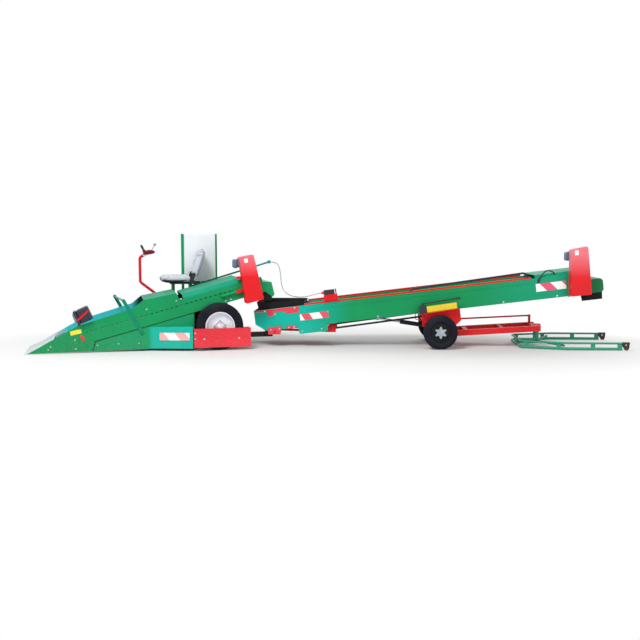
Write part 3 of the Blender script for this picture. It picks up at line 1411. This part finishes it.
class Fasteners:
    """Bolt heads on the plates, guards and skirts."""

    def __init__(self) -> None:
        """Build the shared tree."""
        self.tree = bolt_tree()

    def scoop_spots(self) -> List[Tuple[Point, Point]]:
        """Bolts on the scoop's side plates and lower panels, where the photograph shows them."""
        plate = ((-3.117, 0.058), (-3.086, 0.098), (-2.766, 0.183), (-2.759, 0.060), (-1.804, 0.580),
                 (-1.396, 0.692),
                 (-0.705, 0.676), (-0.633, 0.697))
        panel = ((-2.470, 0.100), (-2.191, 0.112), (-1.917, 0.110))
        spots: List[Tuple[Point, Point]] = []
        for side in (-1, 1):
            spots += [((u, side * SCOOP_HALF, z), (0, side, 0)) for u, z in plate]
            spots += [((u, side * (SCOOP_HALF - 0.006), z), (0, side, 0)) for u, z in panel]
        return spots

    def conveyor_spots(self) -> List[Tuple[Point, Point]]:
        """Bolts along the conveyor's plates and blocks; a row is height, stand-off and places along."""
        rows = ((0.024, 0.0, (1.62, 2.50, 3.40, 4.15)), (0.012, 0.020, (0.07, 0.20)),
                (0.014, 0.018, (0.335, 0.41)),
                (0.285, 0.006, (0.02, 0.45)), (-0.06, 0.008, (0.52, 0.80)), (0.225, 0.0, (0.16,)))
        spots: List[Tuple[Point, Point]] = []
        for side in (-1, 1):
            for height, proud, places in rows:
                for s in places:
                    x, z = on_conveyor(s, height)
                    spots.append(((x, side * (CONVEYOR_HALF + proud), z), (0, side, 0)))
        return spots

    def build(self) -> None:
        """Place every set."""
        BoltSet("scoop_bolts", "scoop", Unit.SCOOP, self.scoop_spots(), *PLATE_BOLT).build(self.tree)
        skirt = ((-1.034, 0.165), (-0.548, 0.165), (-1.160, 0.248), (-1.160, 0.170))
        skirts = [((u, side * 0.638, z), (0, side, 0)) for side in (-1, 1) for u, z in skirt]
        BoltSet("skirt_bolts", "scoop", Unit.SCOOP, skirts, *SKIRT_BOLT).build(self.tree)
        guard = [((u, -0.620, z), (0, -1, 0)) for u, z in ((-0.50, 1.27), (-0.36, 1.295), (-0.41, 0.68),
                                                           (-0.23, 0.73))]
        BoltSet("scoop_guard_bolts", "scoop", Unit.SCOOP, guard, *PLATE_BOLT, "guard_red").build(self.tree)
        BoltSet("conveyor_bolts", "conveyor", Unit.CONVEYOR, self.conveyor_spots(),
                *CONVEYOR_BOLT).build(self.tree)
        guard = [((u, -0.590, z), (0, -1, 0)) for u, z in ((4.30, 1.37), (4.455, 1.40), (4.31, 0.785),
                                                           (4.515, 0.81))]
        BoltSet("conveyor_guard_bolts", "conveyor", Unit.CONVEYOR, guard, *PLATE_BOLT,
                "guard_red").build(self.tree)
        plates = [((x, side * 0.485, z), (0, side, 0)) for side in (-1, 1)
                  for x, z in ((2.27, 0.45), (2.27, 0.36), (2.70, 0.52), (2.70, 0.42))]
        BoltSet("chassis_bolts", "undercarriage", Unit.CONVEYOR, plates, *CHASSIS_BOLT,
                "red").build(self.tree)


@dataclass
class Studio:
    """Pale floor, soft light and the photograph's camera."""

    eye: Point = (1.407, -12.443, 1.6)
    pan: float = 3.0
    pitch: float = 5.74
    lens: float = 47.53
    surround: float = 0.47

    def build_floor(self) -> None:
        """A large pale floor that keeps the shadow and turns to plain white away from the machine."""
        shader = Shader("studio_floor")
        shader.set(Base_Color=(0.80, 0.80, 0.80, 1.0), Roughness=0.95)
        parts = [shader.axis(index) for index in (0, 1)]
        reach = (parts[0] * 0.55) * (parts[0] * 0.55) + parts[1] * parts[1]
        away = shader.ramp(reach, 2.2, 9.0) * self.seen(shader)
        white = shader.node("ShaderNodeEmission", {}, {"Color": (1, 1, 1, 1), "Strength": 1.0})
        lit = Sock(shader, shader.surface.outputs[0])
        both = shader.node("ShaderNodeMixShader", {}, {0: away, 1: lit, 2: white})
        shader.feed(shader.output.inputs["Surface"], both)
        mesh = bpy.data.meshes.new("studio_floor")
        size = 60.0
        mesh.from_pydata([(-size, -size, 0), (size, -size, 0), (size, size, 0), (-size, size, 0)], [],
                         [(0, 1, 2, 3)])
        floor = bpy.data.objects.new("studio_floor", mesh)
        bpy.context.scene.collection.objects.link(floor)
        mesh.materials.append(shader.material)

    @staticmethod
    def seen(shader: Shader) -> Sock:
        """One where the camera, a mirror or glass looks at the surface."""
        rays = [shader.node("ShaderNodeLightPath", out=name) for name in
                ("Is Camera Ray", "Is Glossy Ray", "Is Transmission Ray")]
        return rays[0] + rays[1] + rays[2]

    def build_world(self) -> None:
        """A soft surround that looks white and lights the machine at a lower level."""
        world = bpy.data.worlds.new("studio_world")
        bpy.context.scene.world = world
        world.use_nodes = True
        tree = world.node_tree
        back = tree.nodes["Background"]
        back.inputs["Color"].default_value = (1, 1, 1, 1)
        rays = tree.nodes.new("ShaderNodeLightPath")
        level = tree.nodes.new("ShaderNodeMapRange")
        level.inputs["To Min"].default_value = self.surround
        total = rays.outputs["Is Camera Ray"]
        for name in ("Is Glossy Ray", "Is Transmission Ray"):
            both = tree.nodes.new("ShaderNodeMath")
            tree.links.new(total, both.inputs[0])
            tree.links.new(rays.outputs[name], both.inputs[1])
            total = both.outputs[0]
        tree.links.new(total, level.inputs["Value"])
        tree.links.new(level.outputs[0], back.inputs["Strength"])

    def build_lights(self) -> None:
        """Three large soft lamps."""
        lamps = (("key", (-3.5, -7.0, 8.5), 3.5, 780.0), ("fill", (7.0, -8.5, 3.5), 7.0, 250.0),
                 ("rim", (1.0, 7.0, 6.5), 7.0, 260.0))
        for name, place, size, power in lamps:
            data = bpy.data.lights.new(name, "AREA")
            data.energy, data.size = power, size
            lamp = bpy.data.objects.new(name, data)
            bpy.context.scene.collection.objects.link(lamp)
            lamp.location = place
            lamp.rotation_euler = (Vector((0, 0, 0.5)) - Vector(place)).to_track_quat("-Z", "Y").to_euler()

    def build_camera(self) -> None:
        """The photograph's camera."""
        data = bpy.data.cameras.new("photo_camera")
        data.lens, data.sensor_width = self.lens, 36.0
        camera = bpy.data.objects.new("photo_camera", data)
        bpy.context.scene.collection.objects.link(camera)
        camera.location = at(Unit.CONVEYOR, self.eye)
        pan, pitch = math.radians(self.pan), math.radians(self.pitch)
        way = Vector((-math.sin(pan) * math.cos(pitch), math.cos(pan) * math.cos(pitch), -math.sin(pitch)))
        camera.rotation_euler = way.to_track_quat("-Z", "Y").to_euler()
        bpy.context.scene.camera = camera

    def build(self) -> None:
        """Set the stage."""
        bpy.context.scene.view_settings.view_transform = "Standard"
        self.build_floor()
        self.build_world()
        self.build_lights()
        self.build_camera()


def dress_nodes() -> None:
    """Give every carried-over CAD node its finish."""
    for finish, names in NODE_FINISH.items():
        for name in names.split():
            mesh = frame["nodes"][name].data
            mesh.materials.clear()
            mesh.materials.append(MATERIALS[finish])
            LOG.info("%s in %s", name, finish)


def main() -> None:
    """Build every sub-assembly in order."""
    logging.basicConfig(level=logging.INFO, format="%(message)s")
    Studio().build()
    PowerCable().build()
    dress_nodes()
    bolts, fins = Fasteners(), fin_tree()
    bolts.build()
    scoop_wheels = Wheels(Unit.SCOOP, "scoop", -0.808, 0.330, 0.478, 0.138, 0.205, (0.045, 0.069, 0.093))
    scoop_wheels.build_tyres()
    scoop_wheels.build_scoop_hubs(bolts.tree)
    cart_wheels = Wheels(Unit.CONVEYOR, "conveyor", 2.480, 0.240, 0.522, 0.125, 0.135, (0.042, 0.0625, 0.083))
    cart_wheels.build_tyres()
    cart_wheels.build_star_hubs()
    Seat().build()
    ControlConsole().build()
    BodyFittings().build()
    CabinetDoor().build()
    GrabHandle().build()
    WorkLamp().build()
    DriveMotor("scoop_motor_dressed", "scoop", Unit.SCOOP, "scoop_motor", (-0.448, 1.208), 0.082, -0.460,
               -0.170).build(fins)
    DriveMotor("conveyor_motor_dressed", "conveyor", Unit.CONVEYOR, "conveyor_motor", (4.372, 1.315), 0.080,
               -0.420,
               -0.140).build(fins)
    signs = FlatSigns()
    signs.build()
    signs.build_reflector()


if __name__ == "__main__":
    main()
